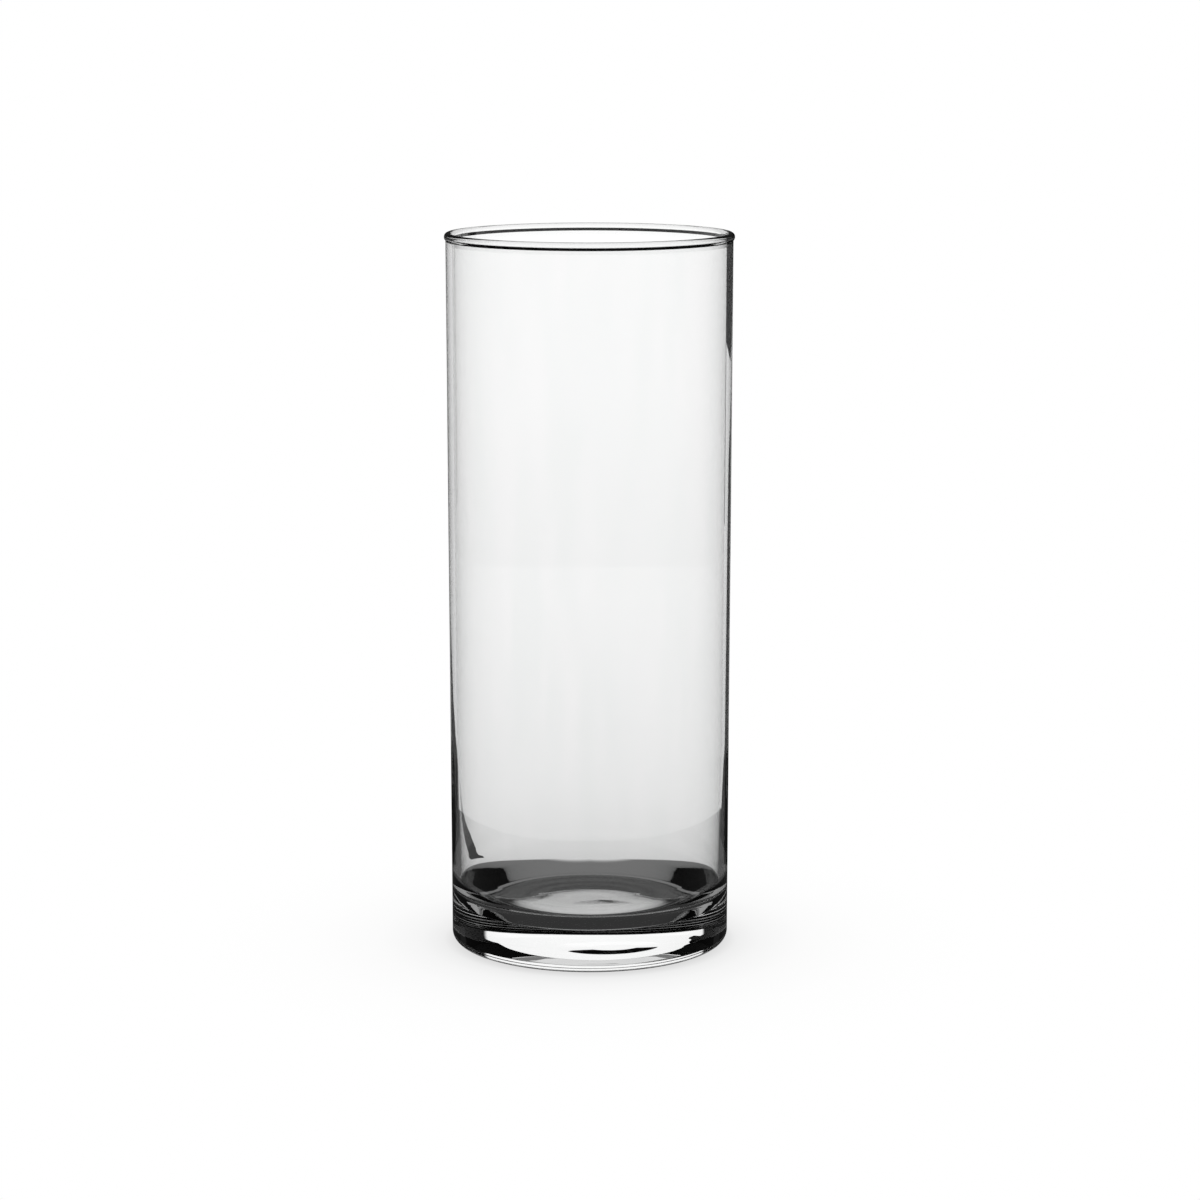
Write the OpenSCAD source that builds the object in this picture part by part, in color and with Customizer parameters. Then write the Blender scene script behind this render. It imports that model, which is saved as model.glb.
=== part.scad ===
// Glass cylinder vase: one blown vessel of clear glass with a fire-polished rim and a thick base.
// The vessel is drawn as three zones that meet face to face: the rim, the wall and the base.
// +Z is up, the origin is the centre of the ring that the vase stands on, and lengths are in mm.

/* [Size] */
// Height from the table to the top of the rim
vase_h = 250; // [180:5:320]
// Diameter across the rim bead, the widest point
rim_d = 100; // [90:1:130]
// How much narrower the outside of the wall is at the foot than under the rim
taper = 1.5; // [0.2:0.1:4]

/* [Rim] */
// How far the rim bead stands out beyond the wall
bead_out = 0.5; // [0.2:0.1:1.2]
// How far the rim bead stands in beyond the wall
bead_in = 0.1; // [0.1:0.1:0.6]

/* [Wall] */
// Thickness of the wall under the rim
wall_t = 2.2; // [1.8:0.1:3]
// Thickness of the wall where it meets the base
wall_low_t = 2.9; // [2.5:0.1:4]
// Height of the stretch over which the wall thickens towards the base
thicken_h = 50; // [20:5:80]

/* [Base] */
// Height of the inside floor above the table
floor_h = 13.2; // [8:0.2:22]
// Radius between the inside floor and the wall
fillet_r = 9; // [5:1:18]
// Radius of the outside edge at the foot
heel_r = 3.6; // [2:0.2:5]
// Diameter of the hollow under the base, inside the ring that the vase stands on
punt_d = 71; // [54:1:72]
// Diameter of the flat middle of that hollow
punt_flat_d = 47; // [20:1:50]
// Height of the hollow under the base
punt_h = 0.7; // [0.3:0.1:3]

/* [Hidden] */
$fn = 180;
glass = [0.82, 0.88, 0.88, 0.45];
neck_h = 2.6;            // straight glass between the wall zone and the middle of the bead
land_h = 2.5;            // straight inside wall between the fillet and the wall zone
bead_t = wall_t + bead_out + bead_in;
bead_r = rim_d / 2 - bead_t / 2;
bead_z = vase_h - bead_t / 2;
rim_z = bead_z - neck_h;
mouth_r = rim_d / 2 - bead_out;
foot_r = mouth_r - taper / 2;
base_h = floor_h + fillet_r + land_h;
inside_r = foot_r - wall_low_t;
fillet_x = inside_r - fillet_r;

// Outside radius of the wall at a height, from the foot to the mouth
function wall_r(z) = foot_r + (mouth_r - foot_r) * (z - base_h) / (rim_z - base_h);

// The bead of the mouth and the short neck that carries it
module rim() {
    color(glass)
        rotate_extrude()
            union() {
                translate([mouth_r - wall_t, rim_z])
                    square([wall_t, neck_h]);
                translate([bead_r, bead_z])
                    circle(bead_t / 2);
            }
}

// The tall wall, slightly wider at the top and thicker near the base
module wall() {
    thick_z = base_h + thicken_h;
    color(glass)
        rotate_extrude()
            polygon([
                [foot_r, base_h],
                [mouth_r, rim_z],
                [mouth_r - wall_t, rim_z],
                [wall_r(thick_z) - wall_t, thick_z],
                [inside_r, base_h]
            ]);
}

// Outline of the base before it is hollowed, with its rounded heel
module base_block() {
    translate([0, heel_r])
        square([foot_r, base_h - heel_r]);
    square([foot_r - heel_r, heel_r]);
    translate([foot_r - heel_r, heel_r])
        circle(heel_r);
}

// Outline of the inside: a flat floor, the fillet and the foot of the straight wall
module base_hollow() {
    translate([-1, floor_h + fillet_r])
        square([inside_r + 1, base_h]);
    translate([-1, floor_h])
        square([fillet_x + 1, base_h]);
    translate([fillet_x, floor_h + fillet_r])
        circle(fillet_r);
}

// Outline of the shallow hollow underneath: flat in the middle, sloping down to the standing ring
module base_recess() {
    polygon([
        [-1, -punt_h],
        [punt_d - punt_flat_d / 2, -punt_h],
        [punt_flat_d / 2, punt_h],
        [-1, punt_h]
    ]);
}

// The thick base: inside floor and fillet above, heel, standing ring and hollow below
module base() {
    color(glass)
        rotate_extrude()
            difference() {
                base_block();
                base_hollow();
                base_recess();
            }
}

rim();
wall();
base();
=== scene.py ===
import math

import bmesh
import bpy
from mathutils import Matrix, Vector, noise


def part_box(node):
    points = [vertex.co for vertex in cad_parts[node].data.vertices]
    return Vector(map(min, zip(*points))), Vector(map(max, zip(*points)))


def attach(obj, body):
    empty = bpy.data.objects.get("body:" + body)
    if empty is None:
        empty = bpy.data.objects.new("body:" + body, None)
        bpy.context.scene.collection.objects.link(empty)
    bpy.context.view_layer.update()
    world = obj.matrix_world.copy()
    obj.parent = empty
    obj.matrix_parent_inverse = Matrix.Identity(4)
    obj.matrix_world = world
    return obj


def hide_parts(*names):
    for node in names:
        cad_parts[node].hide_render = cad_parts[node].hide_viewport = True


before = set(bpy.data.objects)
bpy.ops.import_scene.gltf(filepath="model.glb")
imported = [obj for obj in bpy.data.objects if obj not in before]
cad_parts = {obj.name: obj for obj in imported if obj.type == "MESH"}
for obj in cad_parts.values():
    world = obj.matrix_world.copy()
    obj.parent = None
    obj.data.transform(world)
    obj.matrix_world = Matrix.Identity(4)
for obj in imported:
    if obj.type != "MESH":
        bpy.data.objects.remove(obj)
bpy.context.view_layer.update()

# Clear glass cylinder vase: one lathe-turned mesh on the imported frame, in a studio for clear glass.
# Lengths are in metres. The camera looks along +Y.

MM = 0.001
rim_low, rim_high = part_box("rim")
base_low, base_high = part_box("base")

# Outside sizes, from the frame
HEIGHT = rim_high.z
RIM_R = (rim_high.x - rim_low.x) / 2
FOOT_R = (base_high.x - base_low.x) / 2

# Sizes of the glass that the frame's boxes don't show
BEAD_OUT = 0.5 * MM
BEAD_T = 2.8 * MM
WALL_T = 2.2 * MM
WALL_LOW_T = 2.9 * MM
THICKEN_H = 50 * MM
LAND_H = 7 * MM
FLOOR_H = 13.2 * MM
CROWN_H = 0.2 * MM
GROOVE_W = 3.5 * MM
GROOVE_H = 0.35 * MM
FILLET_W = 10 * MM
FILLET_H = 6.9 * MM
FILLET_R = 8.7 * MM
HEEL_R = 3.6 * MM
RING_R = 35.5 * MM
RECESS_R = 23.5 * MM
RECESS_H = 0.45 * MM
DIMPLE_R = 12.5 * MM
DIMPLE_FLAT_R = DIMPLE_R * 0.45
DIMPLE_H = 0.21 * MM
OFF_CENTRE = 6.5 * MM
UNDERSIDE_H = 2 * MM

# Radii that soften the section where two slopes meet
DIMPLE_SOFT = 30 * MM
RECESS_SOFT = 12 * MM
RING_SOFT = 16 * MM
HEEL_SOFT = 20 * MM
THICKEN_SOFT = 400 * MM
LAND_SOFT = 20 * MM
GROOVE_SOFT = 4 * MM
CROWN_SOFT = 8 * MM

# Faint rings on the inside floor, at their full height from RING_FULL_R outwards
RING_MARK = 0.05 * MM
RING_PITCH = 6 * MM
RING_FULL_R = 20 * MM

# Waviness: its size, its waves to the metre, and how much slower it changes upwards than round the vase.
# RIPPLE_SHIFT takes the ripple's waves from another part of the noise than the swell's.
SWELL = 0.03 * MM
SWELL_WAVES = 38
SWELL_DRAWN = 0.45
RIPPLE = 0.012 * MM
RIPPLE_WAVES = 150
RIPPLE_DRAWN = 0.6
RIPPLE_SHIFT = 3

# The waviness grows below WAVY_H, and fades inside CALM_R and towards the standing ring below CALM_H
WAVY_H = 45 * MM
CALM_R = 12 * MM
CALM_H = 6 * MM

# How finely the lathe mesh is cut
SIDES = 224
LINE_STEP = 2 * MM
ARC_STEP = math.radians(4)

# How much the glass bends light
IOR = 1.5

# Marks in the glass: noise cells to the metre, how much slower they change upwards, the tint and height
# of the cords, and the roughness that handling leaves
CORDS = 90
HANDLING = 35
DRAWN = 0.15
CORD_TINT = (0.985, 0.99, 0.988, 1)
NO_TINT = (1, 1, 1, 1)
CORD_HEIGHT = 0.004 * MM
CORD_BUMP = 0.3
HANDLED_ROUGHNESS = 0.008

# Brightness of the studio behind the glass, and of the dark room on the camera's side
GLOW = 1.12
ROOM = 0.03

# Limits of Ray Depth for light that is reflected off the front of the glass, that crosses one wall,
# that crosses both walls, and that isn't trapped in the glass
REFLECTED = 1.5
ONE_WALL = 3.5
BOTH_WALLS = 4.5
FREE = 6.5

# Ray Depth in the world's shader, over the same in a surface's
WORLD_AHEAD = 1

# Brightest light left after more surfaces than both walls have, and the light left of trapped light
LONG_PATH = 0.32
NO_LIGHT = 0.002

# The floor's brightness goes by the logarithm of the distance from the axis, from 10 mm to 10 m
LOG_NEAR = -2
DECADES = 3

# Distance from the axis and brightness of the floor, as seen in the glass and by the camera
UNDER_BASE_R = 0.047
# In the glass: painted shade, darker towards the vase, with a painted shadow under the standing ring from 29
# to 47 mm
FLOOR_IN_GLASS = (
    (0.01, 0.64), (0.021, 0.62), (0.026, 0.4), (0.029, 0.03), (UNDER_BASE_R, 0.03), (0.05, 0.62),
    (0.13, 0.7), (0.22, 0.79), (0.42, 0.85), (0.7, 0.9), (1.1, 0.91), (2.7, 0.95), (10, 0.98),
)
# To the camera: a painted soft shadow round the base, fading to white by 140 mm
PAINTED_FLOOR_SHADOW = (
    (0.01, 0.6), (UNDER_BASE_R, 0.72), (0.052, 0.86), (0.06, 0.92), (0.075, 0.965), (0.1, 0.99),
    (0.14, 1.0), (10, 1.0),
)

# In the glass: the painted shadow round the base, with its slant and soft edges, and the dark ring that is
# seen through one wall
PATCH = 0.17
PATCH_SLANT = 0.1
PATCH_EDGE = (0.0595, 0.0635)
PATCH_END = (0.075, 0.09)
BESIDE = 0.075
BESIDE_R = 0.13
BESIDE_HALF_W = 0.065

# Height and brightness of the white card
CARD_TOP = 0.265
CARD_IN_GLASS = (
    (0, 0.8), (0.04, 0.82), (0.1, 0.855), (0.155, 0.865), (0.18, 0.87), (0.21, 0.83), (CARD_TOP, 0.8),
)
CARD_GAIN = 1.1

# Brightness of the louver, the flags, the world's horizon, the world above it and the dim ceiling
LOUVER = 0.055
FLAG = 0.01
HORIZON = 0.95
SKY = 0.0005
CEILING = 0.075


def rounded(corners):
    """Points along the line through (r, z, radius) corners, with an arc of that radius at each corner."""
    points = [Vector(corners[0][:2])]
    for before, corner, after in zip(corners, corners[1:], corners[2:]):
        at = Vector(corner[:2])
        back = (Vector(before[:2]) - at).normalized()
        ahead = (Vector(after[:2]) - at).normalized()
        half = back.angle(ahead) / 2
        turn = math.pi - 2 * half
        centre = at + (back + ahead).normalized() * corner[2] / math.sin(half)
        start = at + back * corner[2] / math.tan(half)
        points += stretch(points[-1], start)
        spoke = start - centre
        side = 1 if spoke.y * back.x > spoke.x * back.y else -1
        count = max(3, math.ceil(turn / ARC_STEP), math.ceil(turn * corner[2] / LINE_STEP))
        for i in range(1, count + 1):
            a = side * turn * i / count
            points.append(centre + Vector((
                spoke.x * math.cos(a) - spoke.y * math.sin(a),
                spoke.x * math.sin(a) + spoke.y * math.cos(a),
            )))
    return points + stretch(points[-1], Vector(corners[-1][:2]))


def stretch(start, end):
    """Points along a straight line, without its start."""
    count = max(1, math.ceil((end - start).length / LINE_STEP))
    return [start.lerp(end, i / count) for i in range(1, count + 1)]


def profile():
    """The vase's section, from the middle of the underside round the outside to the middle of the floor."""
    mouth_r = RIM_R - BEAD_OUT
    bead_z = HEIGHT - BEAD_T / 2
    inside_r = FOOT_R - WALL_LOW_T
    low_z = FLOOR_H + FILLET_H
    thick_z = low_z + THICKEN_H
    thick_r = FOOT_R + (mouth_r - FOOT_R) * thick_z / HEIGHT - WALL_T
    return rounded([
        (0, RECESS_H + DIMPLE_H, 0),
        (DIMPLE_FLAT_R, RECESS_H + DIMPLE_H, DIMPLE_SOFT),
        (DIMPLE_R, RECESS_H, DIMPLE_SOFT),
        (RECESS_R, RECESS_H, RECESS_SOFT),
        (RING_R, 0, RING_SOFT),
        (FOOT_R, 0, HEEL_R),
        (FOOT_R, HEEL_R * 3, HEEL_SOFT),
        (mouth_r, bead_z - BEAD_T * 0.45, BEAD_T * 0.3),
        (RIM_R, bead_z - BEAD_T * 0.2, BEAD_T * 0.4),
        (RIM_R, HEIGHT, BEAD_T * 0.48),
        (RIM_R - BEAD_T, HEIGHT, BEAD_T * 0.48),
        (mouth_r - WALL_T, bead_z - BEAD_T, BEAD_T),
        (thick_r, thick_z, THICKEN_SOFT),
        (inside_r, low_z + LAND_H, LAND_SOFT),
        (inside_r, low_z, FILLET_R),
        (inside_r - FILLET_W, FLOOR_H - GROOVE_H, GROOVE_SOFT),
        (inside_r - FILLET_W - GROOVE_W, FLOOR_H + CROWN_H, CROWN_SOFT),
        (0, FLOOR_H + CROWN_H, 0),
    ])


def pressed(points):
    """The section with the faint rings that the plunger leaves on the inside floor."""
    for point in points:
        if 0 < point.x < FOOT_R - WALL_LOW_T - FILLET_W and FLOOR_H - MM < point.y < FLOOR_H + MM:
            depth = RING_MARK * min(1, point.x / RING_FULL_R) ** 2
            point.y += depth * math.sin(2 * math.pi * point.x / RING_PITCH)
    return points


def wavy(x, y, z):
    """How far hand-finished glass strays from the true section here, outwards and, low down, upwards."""
    slow = noise.noise(Vector((x, y, z * SWELL_DRAWN)) * SWELL_WAVES)
    quick = noise.noise(Vector((x, y, z * RIPPLE_DRAWN + RIPPLE_SHIFT)) * RIPPLE_WAVES)
    low = max(0, 1 - z / WAVY_H)
    swell = slow * SWELL * (1 + low)
    ripple = quick * RIPPLE * low
    return swell + ripple, (0.5 * swell + ripple) * low


def lathe(name, points):
    """A closed smooth mesh turned from points whose first and last lie on the axis.

    The middle of the underside, with its dimple, is shifted off the axis by OFF_CENTRE.
    """
    mesh = bmesh.new()
    turns = [(math.cos(2 * math.pi * i / SIDES), math.sin(2 * math.pi * i / SIDES)) for i in range(SIDES)]
    rings = []
    for r, z in points[1:-1]:
        hold = min(1, r / CALM_R)
        still = min(1, z / CALM_H) if r > RING_R else 1
        shift = OFF_CENTRE * max(0, 1 - r / RING_R) if z < UNDERSIDE_H else 0
        ring = []
        for c, s in turns:
            out, up = wavy(r * c, r * s, z)
            reach = r + out * hold
            ring.append(mesh.verts.new((reach * c + shift, reach * s, z + up * hold * still)))
        rings.append(ring)
    for low, high in zip(rings, rings[1:]):
        for i in range(SIDES):
            j = (i + 1) % SIDES
            mesh.faces.new((low[i], low[j], high[j], high[i]))
    for ring, point, flip in ((rings[0], points[0], True), (rings[-1], points[-1], False)):
        pole = mesh.verts.new((OFF_CENTRE if point.y < UNDERSIDE_H else 0, 0, point.y))
        for i in range(SIDES):
            corners = (ring[i], ring[(i + 1) % SIDES], pole)
            mesh.faces.new(corners[::-1] if flip else corners)
    bmesh.ops.recalc_face_normals(mesh, faces=mesh.faces)
    for face in mesh.faces:
        face.smooth = True
    data = bpy.data.meshes.new(name)
    mesh.to_mesh(data)
    mesh.free()
    piece = bpy.data.objects.new(name, data)
    bpy.context.collection.objects.link(piece)
    return piece


def new_material(name):
    material = bpy.data.materials.new(name)
    material.use_nodes = True
    return material, material.node_tree


def feed(tree, value, socket):
    """Sets a socket to a number, or links another socket to it."""
    if isinstance(value, (int, float)):
        socket.default_value = value
    else:
        tree.links.new(value, socket)


def math_node(tree, operation, *values):
    node = tree.nodes.new("ShaderNodeMath")
    node.operation = operation
    for socket, value in zip(node.inputs, values):
        feed(tree, value, socket)
    return node.outputs["Value"]


def mixed(tree, factor, low, high):
    """low where the factor is 0, high where it is 1."""
    node = tree.nodes.new("ShaderNodeMix")
    feed(tree, factor, node.inputs["Factor"])
    feed(tree, low, node.inputs["A"])
    feed(tree, high, node.inputs["B"])
    return node.outputs["Result"]


def smooth_step(tree, value, come, go):
    """A smooth change from go[0] to go[1] as the value passes from come[0] to come[1]."""
    node = tree.nodes.new("ShaderNodeMapRange")
    node.interpolation_type = "SMOOTHSTEP"
    tree.links.new(value, node.inputs["Value"])
    for name, number in zip(("From Min", "From Max", "To Min", "To Max"), come + go):
        node.inputs[name].default_value = number
    return node.outputs["Result"]


def cloudy(tree, vector, scale, detail):
    """Soft noise from 0 to 1."""
    node = tree.nodes.new("ShaderNodeTexNoise")
    node.inputs["Scale"].default_value = scale
    node.inputs["Detail"].default_value = detail
    tree.links.new(vector, node.inputs["Vector"])
    return node.outputs["Fac"]


def clear_glass():
    """Colourless glass with faint upright cords, a very slight ripple and slight traces of handling."""
    material, tree = new_material("clear_glass")
    shader = tree.nodes["Principled BSDF"]
    shader.inputs["Transmission Weight"].default_value = 1
    shader.inputs["IOR"].default_value = IOR
    drawn = tree.nodes.new("ShaderNodeMapping")
    drawn.inputs["Scale"].default_value = (1, 1, DRAWN)
    tree.links.new(tree.nodes.new("ShaderNodeTexCoord").outputs["Object"], drawn.inputs["Vector"])
    cords = cloudy(tree, drawn.outputs["Vector"], CORDS, 3)
    handled = cloudy(tree, drawn.outputs["Vector"], HANDLING, 5)

    tint = tree.nodes.new("ShaderNodeMix")
    tint.data_type = "RGBA"
    corded, clear = [socket for socket in tint.inputs if socket.type == "RGBA"]
    corded.default_value = CORD_TINT
    clear.default_value = NO_TINT
    tree.links.new(smooth_step(tree, cords, (0.4, 0.6), (0.0, 1.0)), tint.inputs["Factor"])
    blend = next(socket for socket in tint.outputs if socket.type == "RGBA")
    tree.links.new(blend, shader.inputs["Base Color"])

    roughness = smooth_step(tree, handled, (0.55, 0.75), (0.0, HANDLED_ROUGHNESS))
    tree.links.new(roughness, shader.inputs["Roughness"])

    bump = tree.nodes.new("ShaderNodeBump")
    bump.inputs["Strength"].default_value = CORD_BUMP
    bump.inputs["Distance"].default_value = CORD_HEIGHT
    tree.links.new(cords, bump.inputs["Height"])
    tree.links.new(bump.outputs["Normal"], shader.inputs["Normal"])
    return material


def make_vase():
    vase = lathe("vase_glass", pressed(profile()))
    vase.data.materials.append(clear_glass())
    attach(vase, "root")
    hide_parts("rim", "wall", "base")


def stage_piece(name, corners, to_camera=False):
    """A flat stage surface through the corners, with an emission shader, that shows through the glass.

    It shows to the camera itself only where to_camera is set.
    """
    data = bpy.data.meshes.new(name)
    data.from_pydata(corners, [], [range(len(corners))])
    piece = bpy.data.objects.new(name, data)
    bpy.context.collection.objects.link(piece)
    material, tree = new_material(name)
    tree.nodes.clear()
    data.materials.append(material)
    piece.visible_camera = to_camera
    emission = tree.nodes.new("ShaderNodeEmission")
    output = tree.nodes.new("ShaderNodeOutputMaterial")
    tree.links.new(emission.outputs[0], output.inputs["Surface"])
    return tree, emission


def see_through(tree, emission, solid):
    """Leaves the emission where solid is 1, and makes the surface clear where it is 0."""
    mix = tree.nodes.new("ShaderNodeMixShader")
    clear = tree.nodes.new("ShaderNodeBsdfTransparent")
    output = next(node for node in tree.nodes if node.type == "OUTPUT_MATERIAL")
    tree.links.new(solid, mix.inputs["Fac"])
    tree.links.new(clear.outputs[0], mix.inputs[1])
    tree.links.new(emission.outputs[0], mix.inputs[2])
    tree.links.new(mix.outputs[0], output.inputs["Surface"])


def split_xyz(tree, vector):
    """The x, y and z of a vector."""
    split = tree.nodes.new("ShaderNodeSeparateXYZ")
    tree.links.new(vector, split.inputs[0])
    return split.outputs


def place(tree):
    """The x, y and z of the point being shaded."""
    return split_xyz(tree, tree.nodes.new("ShaderNodeNewGeometry").outputs["Position"])


def ramp(tree, value, stops):
    """Straight lines through (position, brightness) stops."""
    node = tree.nodes.new("ShaderNodeFloatCurve")
    curve = node.mapping.curves[0]
    for point, stop in zip(curve.points, (stops[0], stops[-1])):
        point.location = stop
    for stop in stops[1:-1]:
        curve.points.new(*stop)
    for point in curve.points:
        point.handle_type = "VECTOR"
    node.mapping.update()
    tree.links.new(value, node.inputs["Value"])
    return node.outputs["Value"]


def ray_depth(tree):
    """How many surfaces the light meets on its way from here to the camera."""
    return tree.nodes.new("ShaderNodeLightPath").outputs["Ray Depth"]


def studio_light(tree, in_glass, direct=1.0, ahead=0):
    """direct to the camera, ROOM in a reflection off the front of the glass, and in_glass through the glass.

    Light that meets more surfaces than both walls have is dimmed. ahead is added to every count of surfaces.
    """
    depth = ray_depth(tree)
    entered, long, trapped = (
        math_node(tree, "GREATER_THAN", depth, surfaces + ahead)
        for surfaces in (REFLECTED, BOTH_WALLS, FREE)
    )
    dim = math_node(tree, "MINIMUM", in_glass, LONG_PATH)
    through = mixed(tree, long, in_glass, mixed(tree, trapped, dim, NO_LIGHT))
    to_camera = tree.nodes.new("ShaderNodeLightPath").outputs["Is Camera Ray"]
    return mixed(tree, to_camera, mixed(tree, entered, ROOM, through), direct)


def by_distance(tree, away, stops):
    """The brightness at this distance from the axis, from (distance, brightness) stops."""
    log = math_node(tree, "LOGARITHM", away, 10)
    scale = math_node(tree, "MULTIPLY_ADD", log, 1 / DECADES, -LOG_NEAR / DECADES)
    return ramp(tree, scale, [((math.log10(r) - LOG_NEAR) / DECADES, level) for r, level in stops])


def make_floor():
    """White to the camera, with a painted soft shadow; in the glass painted shade darkens it towards and
    under the base.
    """
    size = 12
    z = -0.2 * MM
    corners = [(-size, -size, z), (size, -size, z), (size, size, z), (-size, size, z)]
    tree, emission = stage_piece("floor", corners, to_camera=True)
    x, y, _ = place(tree)
    square = math_node(tree, "ADD", math_node(tree, "MULTIPLY", x, x), math_node(tree, "MULTIPLY", y, y))
    away = math_node(tree, "SQRT", square)

    # A painted shadow round the base, longer to the left and right than to the front and back
    across = math_node(tree, "ABSOLUTE", x)
    along = math_node(tree, "ABSOLUTE", y)
    slanted = math_node(tree, "MULTIPLY_ADD", across, PATCH_SLANT, along)
    edge = smooth_step(tree, slanted, PATCH_EDGE, (PATCH, 1.0))
    end = smooth_step(tree, across, PATCH_END, (PATCH, 1.0))
    under = math_node(tree, "LESS_THAN", away, UNDER_BASE_R)
    patch = math_node(tree, "MAXIMUM", math_node(tree, "MAXIMUM", edge, end), under)
    # Painted shade in the glass: darker towards and under the vase, with the painted shadow patch
    glow = math_node(tree, "MINIMUM", by_distance(tree, away, FLOOR_IN_GLASS), patch)
    lit = math_node(tree, "MULTIPLY", glow, GLOW)

    # A dark ring beside the vase, where it is seen through one wall
    beside = math_node(tree, "COMPARE", away, BESIDE_R, BESIDE_HALF_W)
    one_wall = math_node(tree, "LESS_THAN", ray_depth(tree), ONE_WALL)
    lit = mixed(tree, math_node(tree, "MULTIPLY", beside, one_wall), lit, BESIDE)

    # Painted soft shadow round the base, as the camera sees the floor
    shadow = by_distance(tree, away, PAINTED_FLOOR_SHADOW)
    tree.links.new(studio_light(tree, lit, shadow), emission.inputs["Strength"])


def make_card():
    """The white card behind the vase, with soft ends."""
    y = 0.8
    left = -0.72
    right = 0.58
    soft = 0.06
    corners = [(left, y, 0), (right, y, 0), (right, y, CARD_TOP), (left, y, CARD_TOP)]
    tree, emission = stage_piece("card", corners)
    x, _, z = place(tree)
    stops = [(height / CARD_TOP, level) for height, level in CARD_IN_GLASS]
    glow = ramp(tree, math_node(tree, "MULTIPLY", z, 1 / CARD_TOP), stops)
    for dark, light in ((left, left + soft), (right, right - soft)):
        glow = math_node(tree, "MULTIPLY", glow, smooth_step(tree, x, (dark, light), (0.0, 1.0)))
    lit = math_node(tree, "MULTIPLY", glow, CARD_GAIN * GLOW)
    tree.links.new(studio_light(tree, lit), emission.inputs["Strength"])


def make_louver():
    """A low grey strip behind the left side, clear from its other face so that no corner view shows it."""
    near = Vector((-0.043, 0.073, 0))
    along = Vector((-0.602, 0.799, 0))
    outline = (
        (0, 0), (0.15, 0), (0.128, 0.012), (0.09, 0.0108), (0.0615, 0.01), (0.0316, 0.0102),
        (0.02, 0.0078), (0.004, 0.003),
    )
    corners = [near + along * step + Vector((0, 0, height)) for step, height in outline]
    tree, emission = stage_piece("louver", corners)
    emission.inputs["Strength"].default_value = LOUVER
    see_through(tree, emission, tree.nodes.new("ShaderNodeNewGeometry").outputs["Backfacing"])


def make_flag(name, outline):
    """A black card that darkens the edge of the glass, and is clear to light that crosses both walls."""
    y = 0.1
    tree, emission = stage_piece(name, [(x, y, z) for x, z in outline])
    emission.inputs["Strength"].default_value = FLAG
    see_through(tree, emission, math_node(tree, "LESS_THAN", ray_depth(tree), ONE_WALL))


def make_flags():
    make_flag("flag_right", (
        (0.066, 0), (0.122, 0), (0.116, 0.01), (0.0994, 0.037), (0.096, 0.079), (0.094, 0.122),
        (0.09, 0.155), (0.07, 0.185),
    ))
    make_flag("flag_right_top", (
        (0.066, 0.214), (0.072, 0.2), (0.082, 0.194), (0.12, 0.2), (0.12, 0.262), (0.058, 0.262),
        (0.06, 0.24),
    ))
    make_flag("flag_left", ((-0.066, 0), (-0.122, 0), (-0.116, 0.04), (-0.09, 0.065), (-0.072, 0.1)))


def make_camera():
    """A 105 mm lens 1.2 m away, a little above the rim and looking down at the middle of the vase."""
    data = bpy.data.cameras.new("camera")
    data.sensor_width = 36
    data.lens = 104.8
    data.clip_end = 100
    camera = bpy.data.objects.new("camera", data)
    camera.location = (0, -1.204, 0.3346)
    camera.rotation_euler = (math.radians(90 - 10.03), 0, math.radians(-0.172))
    bpy.context.collection.objects.link(camera)
    bpy.context.scene.camera = camera


def make_world():
    """White to the camera; almost black in the glass, but for part of the horizon and a dim ceiling."""
    world = bpy.data.worlds.new("studio")
    world.use_nodes = True
    tree = world.node_tree
    background = tree.nodes["Background"]
    background.inputs["Color"].default_value = (1, 1, 1, 1)
    x, y, z = split_xyz(tree, tree.nodes.new("ShaderNodeTexCoord").outputs["Generated"])

    # White just above the horizon to the left and behind, where it is seen through both walls
    rise = (math.sin(math.radians(5.3)), math.sin(math.radians(5.9)))
    left = smooth_step(tree, x, (-0.9, -0.8), (1.0, 0.0))
    behind = smooth_step(tree, y, (0.85, 0.92), (0.0, 1.0))
    side = math_node(tree, "MAXIMUM", left, behind)
    low = math_node(tree, "MULTIPLY", smooth_step(tree, z, rise, (HORIZON, SKY)), side)
    both_walls = math_node(tree, "GREATER_THAN", ray_depth(tree), ONE_WALL + WORLD_AHEAD)
    low = math_node(tree, "MULTIPLY", low, both_walls)

    # Dim above, on the camera's side
    front = smooth_step(tree, y, (-0.7, -0.3), (1.0, 0.0))
    ceiling = math_node(tree, "MULTIPLY", front, smooth_step(tree, z, (0.12, 0.18), (0.0, CEILING)))

    lit = math_node(tree, "MULTIPLY", math_node(tree, "ADD", low, ceiling), GLOW)
    tree.links.new(studio_light(tree, lit, ahead=WORLD_AHEAD), background.inputs["Strength"])
    bpy.context.scene.world = world


make_camera()
make_world()
make_floor()
make_card()
make_flags()
make_louver()
make_vase()

bpy.context.scene.view_settings.view_transform = "Standard"
